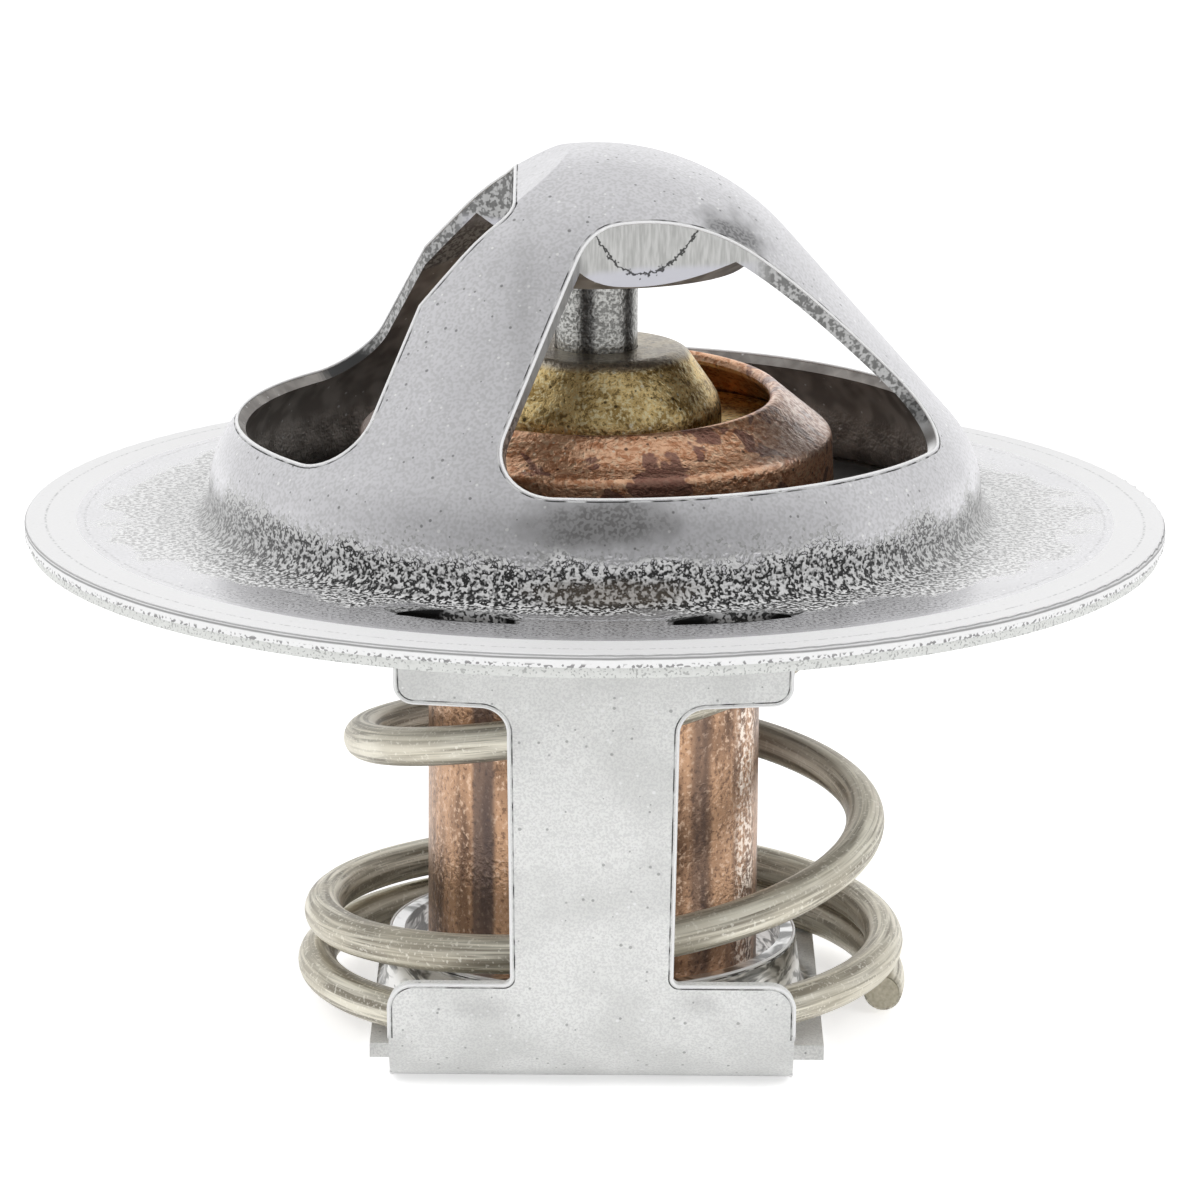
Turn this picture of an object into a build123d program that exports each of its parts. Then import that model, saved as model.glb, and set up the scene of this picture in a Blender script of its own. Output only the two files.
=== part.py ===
from build123d import *
from math import asin, cos, degrees, hypot, pi, radians, sin, tan
import os

# Wax-element engine thermostat, millimetres, +Z up.  The Z axis is the axis of the valve, and the front
# leg of the lower frame faces -Y.  Heights are measured from the top face of the clamping flange, and each
# part is saved as it stands on z = 0, with the underside of the lower frame's plate on the origin.

# ---------------------------------------------------------------- bridge flange
flange_r = 27.0                 # outside radius of the clamping flange
sheet_t = 0.6                   # thickness of the upper stamping
rim_break = 0.15                # rounded upper edge of the rim
wall_r = 18.3                   # outside radius of the short wall under the dome
foot_r = 1.0                    # concave fillet where the wall meets the flange
shoulder_r = 5.0                # arc between the wall and the cone
cone_deg = 48.4                 # slope of the arms below the horizontal
crown_r = 12.0                  # arc over the top of the dome
apex_z = 17.65                  # top of the dome
window_z = 4.6                  # lower edge of the three windows, on the outer skin
sill_r = 16.95                  # radius of the skin at that height
sill_slope = 1.0                # the sill is cut square to the sheet, so it drops towards the inside
arm_deg = (-119.5, 0.5, 120.5)  # directions of the three arms
arm_half = 3.5                  # half width of an arm
window_corner = 2.5             # rounding at the lower corners of a window
hub_cut = 7.13                  # distance from the axis to the straight cut that frees the hub
hub_cut_turn = 14.4             # that cut leans this far away from the left window
hub_z = 12.2                    # flat underside of the hub
hub_flat_r = 7.0                # radius of that flat underside
hub_taper_r = 8.5               # radius where the hub has thinned down to sheet
hub_corner = 3.0                # rounding where the hub meets the arms
deep_x = 3.9                    # the left window is pierced closer to the axis than the others
deep_y = 5.6
kink_x = 8.2
crown_slope = 0.7               # the crown falls away towards the left window on a flat facet
crown_fall_x = -1.2             # which begins here

# ---------------------------------------------------------------- lanced slits over the frame tabs
slit_r = 21.75
slit_w = 0.4
slit_in = 3.3                   # the slits run from this far off the centre line
slit_out = 8.8                  # to this far
lip_rise = 0.35                 # the inner side of each slit is pushed up into a low lip
lip_w = 1.5

# ---------------------------------------------------------------- seat plate
plate_t = 0.5
plate_inset = 0.2               # its edge lies this far inside the flange
plate_r = flange_r - plate_inset

# ---------------------------------------------------------------- lower frame
frame_t = 0.7
base_z = -24.0                  # underside of the bottom plate
bend_r = 5.5                    # outside radius of the bend under each leg
bend_y = 11.4                   # where the flat of the bottom plate ends
lean_deg = 12.0                 # the legs lean outward going up
head_half = 8.9                 # upper T
head_z = -4.05
head_inner_z = -4.3             # its lower edge falls a little toward the web
head_corner = 0.9
web_half_top = 3.83
web_half_low = 3.67
web_fillet_top = 1.3
web_fillet_low = 0.35
foot_half = 9.3                 # lower T of the front leg
rear_foot_half = 7.2            # the rear leg is narrower there
foot_z = -18.15
foot_corner = 1.2
base_left = 10.4                # bottom plate to the left of the axis
base_right = 10.9               # and to the right
base_half_y = 9.8
tab_in = 3.5                    # tabs that reach up through the seat plate
tab_out = 8.6
tab_play = 0.05
collar_rim_z = -20.55           # drawn collar round the element
collar_rim_r = 9.75
collar_foot_r = 10.15
collar_fillet = 0.6

# ---------------------------------------------------------------- fixed pin and moving element
pin_r = 1.95
pin_top_z = 15.1
pin_low_z = -13.6
pin_cone = 3.0                  # tapered lower end
pin_tip_r = 1.2
pin_run = 0.03                  # running clearance in guide and boot

cup_r = 7.9                     # drawn copper cup
cup_wall = 0.7
cup_z = -23.2
cup_corner = 1.4
head_top_r = 11.2               # enlarged head of the cup, under its crimped lip
head_flare = 0.2                # it is that much wider at its underside
head_r = head_top_r + head_flare
seat_play = 0.7                 # ring gap round the head
seat_r = head_r + seat_play     # valve opening in the seat plate
head_under_z = -1.3             # underside of the head
head_top_z = 4.1                # where the crimped lip begins
lip_rim_r = 8.65                # free edge of the crimped lip
lip_rim_z = 6.25

guide_top_z = 8.1               # brass guide, a turned part
guide_flat_r = 4.2
guide_dome_r = 5.95
guide_shoulder_z = 5.6
guide_flange_z = 4.2
guide_low_z = 0.6
guide_gap = 0.05

boot_r = 4.2                    # rubber boot round the pin
boot_low_z = -18.6
wax_top_z = -1.0

disc_t = 0.8                    # valve disc under the head of the cup
disc_lap = 1.5                  # it reaches this far under the seat plate
disc_r = seat_r + disc_lap
disc_bend_in = head_r + 0.2
disc_bend_out = seat_r + 0.1

# ---------------------------------------------------------------- return spring
wire_d = 1.84
spring_x = 0.45                 # the spring sits a little to the right of the axis
# one entry per quarter turn: angle in degrees, coil radius, height of the wire centre
spring_turns = (
    (-12, 13.75, -22.85), (35, 13.5, -22.38), (90, 12.9, -22.05), (180, 13.7, -22.0), (270, 13.3, -21.4),
    (360, 13.6, -20.93), (450, 13.5, -20.3), (540, 13.4, -19.6), (630, 13.1, -17.6), (720, 12.6, -14.75),
    (810, 12.0, -12.9), (900, 11.5, -11.1), (990, 11.05, -7.45), (1080, 10.4, -4.2), (1140, 10.25, -3.3),
)
closed_from_deg = 1200          # the last turn lies flat against the valve disc
closed_to_deg = 1408
closed_r = 10.2

os.makedirs("parts", exist_ok=True)
stand = Pos(0, 0, -base_z)


def revolved(*points):
    """Ring turned from a closed outline of (radius, height) corners."""
    return revolve(make_face(Polyline([(r, 0, z) for r, z in points], close=True)), Axis.Z)


def ring_edges(solid, radius, height):
    """Circular edges of a solid at one radius and height."""
    rings = solid.edges().filter_by(GeomType.CIRCLE)
    return rings.filter_by(lambda e: abs(e.radius - radius) < 1e-4 and abs(e.center().Z - height) < 1e-4)


def disc(radius, low, high):
    return Pos(0, 0, (low + high) / 2) * Cylinder(radius, high - low)


# ---------------------------------------------------------------- dome skin
slope = radians(cone_deg)
crown_z = apex_z - crown_r
bulge_r = wall_r - shoulder_r
bulge_z = crown_z + crown_r * cos(slope) - shoulder_r * cos(slope)
bulge_z -= (bulge_r + shoulder_r * sin(slope) - crown_r * sin(slope)) * tan(slope)
skin_low = -4.0


def dome(inset, thick_hub):
    """Solid dome up to its outer skin (inset 0) or its inner skin, with or without the thick hub."""
    crown = crown_r - inset
    bulge = shoulder_r - inset
    tilt = (pi / 2 - slope) / 2
    cone_top = (crown * sin(slope), 0, crown_z + crown * cos(slope))
    cone_low = (bulge_r + bulge * sin(slope), 0, bulge_z + bulge * cos(slope))
    bulge_mid = (bulge_r + bulge * cos(tilt), 0, bulge_z + bulge * sin(tilt))
    wall_top = (bulge_r + bulge, 0, bulge_z)
    wall_low = (bulge_r + bulge, 0, skin_low)
    if thick_hub:
        summit = (0, 0, hub_z)
        edge = (hub_flat_r, 0, hub_z)
        start = (hub_taper_r, 0, crown_z + (crown**2 - hub_taper_r**2) ** 0.5)
        cap = [Line(summit, edge), Line(edge, start)]
        middle = asin(hub_taper_r / crown) / 2 + slope / 2
    else:
        summit = (0, 0, crown_z + crown)
        start = summit
        cap = []
        middle = slope / 2
    half = (crown * sin(middle), 0, crown_z + crown * cos(middle))
    cap.append(ThreePointArc(start, half, cone_top))
    sides = [Line(cone_top, cone_low), ThreePointArc(cone_low, bulge_mid, wall_top), Line(wall_top, wall_low)]
    ends = [Line(wall_low, (0, 0, skin_low)), Line((0, 0, skin_low), summit)]
    return revolve(make_face(cap + sides + ends), Axis.Z)


outer = dome(0, False) + disc(flange_r, -sheet_t, 0)
outer = fillet(ring_edges(outer, wall_r, 0), foot_r)
inner = dome(sheet_t, True) + disc(flange_r + 5, -12, -sheet_t)
inner = fillet(ring_edges(inner, wall_r - sheet_t, -sheet_t), foot_r + sheet_t)
bridge = outer - inner
bridge = fillet(ring_edges(bridge, flange_r, 0), rim_break)


def window(turn, deep):
    """Cutter for one window: its side faces run parallel to the two arms beside it."""
    reach = 40.0
    across = sin(radians(60))
    tip_x = arm_half / across
    far = (reach / 2 + arm_half * across, reach * across - arm_half / 2)
    plan = make_face(Polyline([(tip_x, 0), far, (far[0], -far[1])], close=True))
    edge_r = sill_r + reach
    sill = revolved((0, window_z - sill_r * sill_slope), (edge_r, window_z + reach * sill_slope), (edge_r, -30), (0, -30))
    prism = extrude(Pos(0, 0, -12) * plan, 40) - sill
    low = prism.edges().filter_by(
        lambda e: e.geom_type not in (GeomType.LINE, GeomType.CIRCLE) and e.center().X < far[0] - 1)
    prism = fillet(low, window_corner)
    if deep:
        kink_y = (kink_x - tip_x) * tan(radians(60))
        notch = make_face(Polyline([(kink_x, -kink_y), (kink_x, kink_y), (deep_x, deep_y), (deep_x, -deep_y)],
                                   close=True))
        notch = Pos(0, 0, window_z + window_corner) * extrude(notch, 20)
        notch = fillet(notch.edges().filter_by(Axis.Z).filter_by(lambda e: e.center().X < kink_x - 1), 1.0)
        return prism + notch
    keep_hub = Rot(0, 0, turn) * Pos(hub_cut - 20, 0, 0) * Rectangle(40, 80)
    sharp = plan - keep_hub
    lean_x = cos(radians(turn))
    lean_y = sin(radians(turn))
    corners = sharp.vertices().filter_by(lambda v: abs(v.X * lean_x + v.Y * lean_y - hub_cut) < 1e-3)
    rounded = fillet(corners, hub_corner)
    prism -= extrude(Pos(0, 0, window_z - 1) * keep_hub, 30)
    return prism - extrude(Pos(0, 0, window_z + window_corner) * (sharp - rounded), 30)


for direction, turn, deep in zip(arm_deg, (-hub_cut_turn, hub_cut_turn, 0), (False, False, True)):
    bridge -= Rot(0, 0, direction + 60) * window(turn, deep)

# facet where the crown falls away towards the left window
fall_top = apex_z + 4
fall_x = crown_fall_x - 12
fall_z = apex_z + crown_slope * (fall_x - crown_fall_x)
facet = make_face(Polyline([(crown_fall_x + 6, 0, apex_z + crown_slope * 6), (fall_x, 0, fall_z), (fall_x, 0, fall_top),
                            (crown_fall_x + 6, 0, fall_top + 1)], close=True))
bridge -= extrude(facet, 12, dir=(0, 1, 0), both=True)

# blind bore that holds the pin
bridge -= disc(pin_r, hub_z - 2, pin_top_z)

# arc slits, two over each leg, each with a low lens-shaped lip along its inner side
slit_near = degrees(asin(slit_in / slit_r))
slit_far = degrees(asin(slit_out / slit_r))
slit_mid = (slit_near + slit_far) / 2
lip_half = slit_r * radians(slit_far - slit_near) / 2
lip_arc_r = (lip_half**2 + lip_rise**2) / (2 * lip_rise)
edge_r = slit_r - slit_w / 2
slot = revolve(Plane.XZ * Pos(slit_r, 0) * Rectangle(slit_w, 4), Axis.Z, slit_far - slit_near)
slot = Rot(0, 0, (slit_near - slit_far) / 2) * slot
ramp = make_face(Polyline([(edge_r - lip_w, 0, 0), (edge_r, 0, lip_rise), (edge_r, 0, -0.1), (edge_r - lip_w, 0, -0.1)],
                          close=True))
lip = Rot(0, 0, (slit_near - slit_far) / 2) * revolve(ramp, Axis.Z, slit_far - slit_near)
lip = lip & (Pos(edge_r, 0, lip_rise - lip_arc_r) * Rot(0, 90, 0) * Cylinder(lip_arc_r, 8))
for leg in (90, 270):
    for side in (-slit_mid, slit_mid):
        bridge += Rot(0, 0, leg + side) * lip
for leg in (90, 270):
    for side in (-slit_mid, slit_mid):
        bridge -= Rot(0, 0, leg + side) * slot

export_step(stand * bridge, "parts/bridge_flange.step")

# ---------------------------------------------------------------- lower frame
lean = tan(radians(lean_deg))


def u_shape(inset):
    """Side view of the frame, extruded across: flat bottom, a bend and a leaning leg at each end."""
    r = bend_r - inset
    turn = radians(90 - lean_deg)
    centre_z = base_z + bend_r
    top_z = -sheet_t + inset * 20
    right = [
        Line((0, 0, base_z + inset), (0, bend_y, base_z + inset)),
        ThreePointArc((0, bend_y, base_z + inset),
                      (0, bend_y + r * sin(turn / 2), centre_z - r * cos(turn / 2)),
                      (0, bend_y + r * sin(turn), centre_z - r * cos(turn))),
    ]
    leg = (bend_y + r * sin(turn), centre_z - r * cos(turn))
    top = (leg[0] + (top_z - leg[1]) * lean, top_z)
    right += [Line((0, *leg), (0, *top)), Line((0, *top), (0, 0, top_z)), Line((0, 0, top_z), (0, 0, base_z + inset))]
    half = extrude(make_face(right), 30, dir=(1, 0, 0), both=True)
    return half + mirror(half, Plane.XZ)


shell = u_shape(0) - u_shape(frame_t)


def leg_outline(low_half):
    """Front view of one leg: upper T, web and lower T."""
    corners = [(low_half, base_z - 5), (low_half, foot_z), (web_half_low, foot_z), (web_half_top, head_inner_z),
               (head_half, head_z), (head_half, 5)]
    face = make_face(Polyline([*corners, *[(-x, y) for x, y in reversed(corners)]], close=True))
    for x, y, rounding in ((head_half, head_z, head_corner), (web_half_top, head_inner_z, web_fillet_top),
                           (web_half_low, foot_z, web_fillet_low), (low_half, foot_z, foot_corner)):
        corner = face.vertices().filter_by(lambda v: abs(abs(v.X) - x) < 0.01 and abs(v.Y - y) < 0.01)
        face = fillet(corner, rounding)
    return face


legs = extrude(Plane.XZ * leg_outline(foot_half), 40) + extrude(Plane.XZ * leg_outline(rear_foot_half), -40)

# outline of the bottom plate seen from above
wide = Pos((base_right - base_left) / 2, 0, base_z) * Box(base_left + base_right, 2 * base_half_y, 4)
frame = shell & (legs + wide)

# drawn collar round the element
collar = revolved((collar_rim_r, collar_rim_z), (collar_foot_r, base_z + frame_t), (collar_foot_r, base_z + 0.1),
                  (0, base_z + 0.1), (0, collar_rim_z))
frame = frame + collar
frame = fillet(ring_edges(frame, collar_foot_r, base_z + frame_t), collar_fillet)
bore = revolved((collar_rim_r - frame_t, collar_rim_z + 1), (collar_rim_r - frame_t, collar_rim_z),
                (collar_foot_r - frame_t, base_z + frame_t), (collar_foot_r - frame_t, base_z - 1),
                (0, base_z - 1), (0, collar_rim_z + 1))
frame -= bore
frame = fillet(ring_edges(frame, collar_foot_r - frame_t, base_z), collar_fillet)

# the legs stop under the seat plate, and two tabs on each leg go up through it
tab_z = -sheet_t
stop_z = -sheet_t - plate_t
frame -= Pos(0, 0, stop_z + 10) * Box(2 * tab_in, 60, 20)
for side in (-1, 1):
    frame -= Pos(side * (tab_out + 5), 0, stop_z + 10) * Box(10, 60, 20)
frame -= Pos(0, 0, tab_z + 10) * Box(60, 60, 20)
export_step(stand * frame, "parts/lower_frame.step")

# ---------------------------------------------------------------- seat plate
seat = disc(plate_r, -sheet_t - plate_t, -sheet_t) - disc(seat_r, -5, 5)
tab_y = bend_y + bend_r * cos(radians(lean_deg)) + (stop_z - base_z - bend_r + bend_r * sin(radians(lean_deg))) * lean
for leg in (-1, 1):
    for side in (-1, 1):
        seat -= Pos(side * (tab_in + tab_out) / 2, leg * (tab_y - frame_t / 2), stop_z) * Box(
            tab_out - tab_in + 2 * tab_play, frame_t + 0.25 + 2 * tab_play, 4)
export_step(stand * seat, "parts/seat_plate.step")

# ---------------------------------------------------------------- piston pin
pin = revolved((0, pin_top_z), (pin_r, pin_top_z), (pin_r, pin_low_z + pin_cone), (pin_tip_r, pin_low_z),
               (0, pin_low_z))
pin = chamfer(ring_edges(pin, pin_r, pin_top_z), 0.25)
export_step(stand * pin, "parts/piston_pin.step")

# ---------------------------------------------------------------- element cup
cup = disc(cup_r, cup_z, head_under_z + 0.2)
cup = fillet(ring_edges(cup, cup_r, cup_z), cup_corner)
head = revolved((0, head_under_z), (head_r, head_under_z), (head_top_r, head_top_z), (lip_rim_r, lip_rim_z),
                (0, lip_rim_z))
head = fillet(ring_edges(head, head_r, head_under_z), 0.9)
head = fillet(ring_edges(head, head_top_r, head_top_z), 0.5)
cup_solid = cup + head
hollow = disc(cup_r - cup_wall, cup_z + cup_wall, head_under_z + 1)
hollow = fillet(ring_edges(hollow, cup_r - cup_wall, cup_z + cup_wall), cup_corner - cup_wall)
floor_z = head_under_z + cup_wall
lip_n = hypot(head_top_r - lip_rim_r, lip_rim_z - head_top_z)
lip_dr = cup_wall * (lip_rim_z - head_top_z) / lip_n
lip_dz = cup_wall * (head_top_r - lip_rim_r) / lip_n
hollow += revolved((0, floor_z), (head_r - cup_wall, floor_z), (head_top_r - cup_wall, guide_flange_z - 0.3),
                   (lip_rim_r - lip_dr, lip_rim_z - lip_dz), (lip_rim_r, lip_rim_z), (lip_rim_r, lip_rim_z + 1),
                   (0, lip_rim_z + 1))
cup_solid -= hollow
export_step(stand * cup_solid, "parts/element_cup.step")

# ---------------------------------------------------------------- brass guide
inside_r = head_top_r - cup_wall - guide_gap
guide = revolved((0, guide_low_z), (inside_r, guide_low_z), (inside_r, guide_flange_z - 0.4),
                 (inside_r - 0.4, guide_flange_z), (guide_dome_r, guide_flange_z), (guide_dome_r, guide_shoulder_z),
                 (guide_flat_r, guide_top_z), (0, guide_top_z))
guide = fillet(ring_edges(guide, guide_dome_r, guide_shoulder_z), 2.2)
guide = fillet(ring_edges(guide, guide_flat_r, guide_top_z), 0.9)
guide -= disc(pin_r + pin_run, -5, 20)
export_step(stand * guide, "parts/guide.step")

# ---------------------------------------------------------------- rubber boot
boot = disc(inside_r - 0.05, floor_z, guide_low_z) + disc(boot_r, boot_low_z, floor_z + 0.1)
boot = fillet(ring_edges(boot, boot_r, boot_low_z), 1.5)
boot -= disc(pin_r + pin_run, pin_low_z - 1.0, 5)
export_step(stand * boot, "parts/rubber_boot.step")

# ---------------------------------------------------------------- wax
wax = disc(cup_r - cup_wall - guide_gap, cup_z + cup_wall + guide_gap, wax_top_z)
wax = fillet(ring_edges(wax, cup_r - cup_wall - guide_gap, cup_z + cup_wall + guide_gap), cup_corner - cup_wall)
core = disc(boot_r + guide_gap, boot_low_z - guide_gap, 5)
core = fillet(ring_edges(core, boot_r + guide_gap, boot_low_z - guide_gap), 1.5)
wax -= core
export_step(stand * wax, "parts/wax_charge.step")

# ---------------------------------------------------------------- valve disc
under = head_under_z - disc_t
valve = revolved((cup_r, head_under_z), (disc_bend_in, head_under_z), (disc_bend_out, stop_z), (disc_r, stop_z),
                 (disc_r, stop_z - disc_t), (disc_bend_out + 0.1, stop_z - disc_t), (disc_bend_in + 0.1, under),
                 (cup_r, under))
export_step(stand * valve, "parts/valve_disc.step")

# ---------------------------------------------------------------- return spring
closed_z = under - wire_d / 2 - 0.03
stations = list(spring_turns)
for quarter in range(5):
    stations.append((closed_from_deg + quarter * (closed_to_deg - closed_from_deg) / 4, closed_r, closed_z))


def smooth(before, start, end, after, t):
    """Value at t between start and end on a curve that also follows the neighbours."""
    leave = (end - before) / 2
    arrive = (after - start) / 2
    along = 3 * t**2 - 2 * t**3
    return start + along * (end - start) + (t**3 - 2 * t**2 + t) * leave + (t**3 - t**2) * arrive


wire = []
last = len(stations) - 1
for i in range(last):
    around = [stations[max(i - 1, 0)], stations[i], stations[i + 1], stations[min(i + 2, last)]]
    for part_way in range(3):
        t = part_way / 3
        turn = radians(stations[i][0] + t * (stations[i + 1][0] - stations[i][0]))
        r = smooth(*[s[1] for s in around], t)
        z = smooth(*[s[2] for s in around], t)
        wire.append((spring_x + r * cos(turn), r * sin(turn), z))
turn = radians(stations[last][0])
wire.append((spring_x + closed_r * cos(turn), closed_r * sin(turn), closed_z))
path = Spline(*wire)
start = Plane(origin=path @ 0, z_dir=path % 0)
spring = sweep(start * Circle(wire_d / 2), path=path, is_frenet=True)
export_step(stand * spring, "parts/return_spring.step")
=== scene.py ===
# %% [markdown]
# Engine thermostat
#
# A wax thermostat sits between an engine and its radiator. A copper cup full of wax hangs in the
# hot coolant. When the wax melts it swells, squeezes a rubber boot against a fixed steel pin, and
# so pushes the cup down with the valve disc on it. This scene dresses the measured CAD solids:
# the pieces stay where the solids are, and the work goes into their edges, surfaces and wear.
# Lengths are written in millimetres. MM turns them into metres, and FLANGE_Z is the height of the
# flange's upper face.

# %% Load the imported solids
import math
import bpy
import bmesh
from mathutils import Matrix, Vector


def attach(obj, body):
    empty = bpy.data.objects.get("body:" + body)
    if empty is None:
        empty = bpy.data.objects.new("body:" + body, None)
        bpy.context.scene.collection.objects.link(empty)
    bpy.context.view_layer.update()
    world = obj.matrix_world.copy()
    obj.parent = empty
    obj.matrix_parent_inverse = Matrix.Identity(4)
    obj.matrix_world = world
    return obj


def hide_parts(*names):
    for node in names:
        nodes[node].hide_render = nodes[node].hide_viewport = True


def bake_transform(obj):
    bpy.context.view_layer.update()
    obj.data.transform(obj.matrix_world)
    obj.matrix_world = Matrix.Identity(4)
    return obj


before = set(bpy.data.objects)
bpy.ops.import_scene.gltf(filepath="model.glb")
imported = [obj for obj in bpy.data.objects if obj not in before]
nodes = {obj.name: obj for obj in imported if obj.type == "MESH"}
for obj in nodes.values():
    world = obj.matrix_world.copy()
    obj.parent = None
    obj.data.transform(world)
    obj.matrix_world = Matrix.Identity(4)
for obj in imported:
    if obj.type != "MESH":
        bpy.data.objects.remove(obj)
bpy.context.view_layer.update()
MM = 0.001
FLANGE_Z = 24.0
print("solids:", ", ".join(sorted(nodes)))

# %% [markdown]
# Camera
#
# A long lens from a low height keeps the round flange a thin ellipse. The camera stands a little
# above the flange and looks down fourteen degrees, so the top of the flange and the front of the
# frame both show.

# %% Camera
camera_data = bpy.data.cameras.new("camera")
camera_data.sensor_width = 36.0
camera_data.lens = 196.43
camera_data.clip_start = 0.01
camera = bpy.data.objects.new("camera", camera_data)
bpy.context.scene.collection.objects.link(camera)
across, away, above_flange = 0.183, -302.623, 71.237
pan, tilt_down, roll = -0.015, 14.011, 0.393
camera.matrix_world = (
    Matrix.Translation((across * MM, away * MM, (above_flange + FLANGE_Z) * MM))
    @ Matrix.Rotation(math.radians(pan), 4, "Z")
    @ Matrix.Rotation(math.radians(90 - tilt_down), 4, "X")
    @ Matrix.Rotation(math.radians(roll), 4, "Z")
)
bpy.context.scene.camera = camera
print("camera height in mm:", round(camera.location.z / MM, 1))

# %% [markdown]
# Light and floor
#
# Sheet metal shows what surrounds it. A pale tent lights the part from above, behind and both
# sides, and the side behind the camera is darker, so that the upright wall and the front of the
# flange keep a grey band.

# %% World
scene = bpy.context.scene
scene.view_settings.view_transform = "Standard"
world = bpy.data.worlds.new("pale_tent")
scene.world = world
world.use_nodes = True
sky = world.node_tree
sky.nodes.clear()


def sky_range(socket, low, high, to_low, to_high):
    """Soft ramp of one coordinate of the viewing direction."""
    node = sky.nodes.new("ShaderNodeMapRange")
    node.interpolation_type = "SMOOTHSTEP"
    ends = {"From Min": low, "From Max": high, "To Min": to_low, "To Max": to_high}
    for name, value in ends.items():
        node.inputs[name].default_value = value
    sky.links.new(socket, node.inputs["Value"])
    return node.outputs[0]


def sky_times(a, b):
    """Product of two sockets."""
    node = sky.nodes.new("ShaderNodeMath")
    node.operation = "MULTIPLY"
    sky.links.new(a, node.inputs[0])
    sky.links.new(b, node.inputs[1])
    return node.outputs[0]


direction = sky.nodes.new("ShaderNodeTexCoord").outputs["Generated"]
parts = sky.nodes.new("ShaderNodeSeparateXYZ")
sky.links.new(direction, parts.inputs[0])
behind_camera, behind_part = 0.40, 1.38
front = sky_range(parts.outputs["Y"], -1.0, 0.35, behind_camera, 1.0)
back = sky_range(parts.outputs["Y"], 0.65, 1.0, 1.0, behind_part)
room = sky.nodes.new("ShaderNodeBackground")
sky.links.new(sky_times(front, back), room.inputs["Strength"])
plain = sky.nodes.new("ShaderNodeBackground")
plain.inputs["Strength"].default_value = 1.0
ray = sky.nodes.new("ShaderNodeLightPath")
mix = sky.nodes.new("ShaderNodeMixShader")
sky.links.new(ray.outputs["Is Camera Ray"], mix.inputs[0])
sky.links.new(room.outputs[0], mix.inputs[1])
sky.links.new(plain.outputs[0], mix.inputs[2])
out = sky.nodes.new("ShaderNodeOutputWorld")
sky.links.new(mix.outputs[0], out.inputs["Surface"])
print("tent strength behind the camera and behind the part:", behind_camera, behind_part)

# %% Lamps
part_middle = Vector((0, 0, 0.022))


def soft_lamp(name, place, size, watts):
    """Rectangular lamp that faces the middle of the part."""
    data = bpy.data.lights.new(name, "AREA")
    data.shape = "RECTANGLE"
    data.size = size[0]
    data.size_y = size[1]
    data.energy = watts
    lamp = bpy.data.objects.new(name, data)
    scene.collection.objects.link(lamp)
    lamp.location = place
    lamp.visible_glossy = False
    aim = part_middle - Vector(place)
    lamp.rotation_euler = aim.to_track_quat("-Z", "Y").to_euler()
    return lamp


for name, side in (("left_lamp", -0.28), ("right_lamp", 0.28)):
    lamp = soft_lamp(name, place=(side, -0.30, 0.34), size=(0.25, 0.25), watts=0.65)
    print(lamp.name, "watts:", round(lamp.data.energy, 2))

# %% Floor


def item_from(bm, name):
    """Turns a finished bmesh into an object of the scene."""
    mesh = bpy.data.meshes.new(name)
    bm.to_mesh(mesh)
    bm.free()
    item = bpy.data.objects.new(name, mesh)
    scene.collection.objects.link(item)
    return item


floor_reach = 2.0
bm = bmesh.new()
bmesh.ops.create_grid(bm, x_segments=8, y_segments=8, size=floor_reach)
floor = item_from(bm, "floor")
print("floor: %.0f m across" % (2 * floor_reach))

# %% [markdown]
# Node helper
#
# Every finish here is a small network of nodes. This helper adds nodes and joins their sockets,
# and turns the object's own coordinates into millimetres above the flange, so that a scratch or a
# pit can be given its real size and place. Heights are in millimetres too: they are added up and
# fed to one bump node. A value can be a number or the socket of another node, so the finishes
# below read like sums.

# %% Node helper


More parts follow.
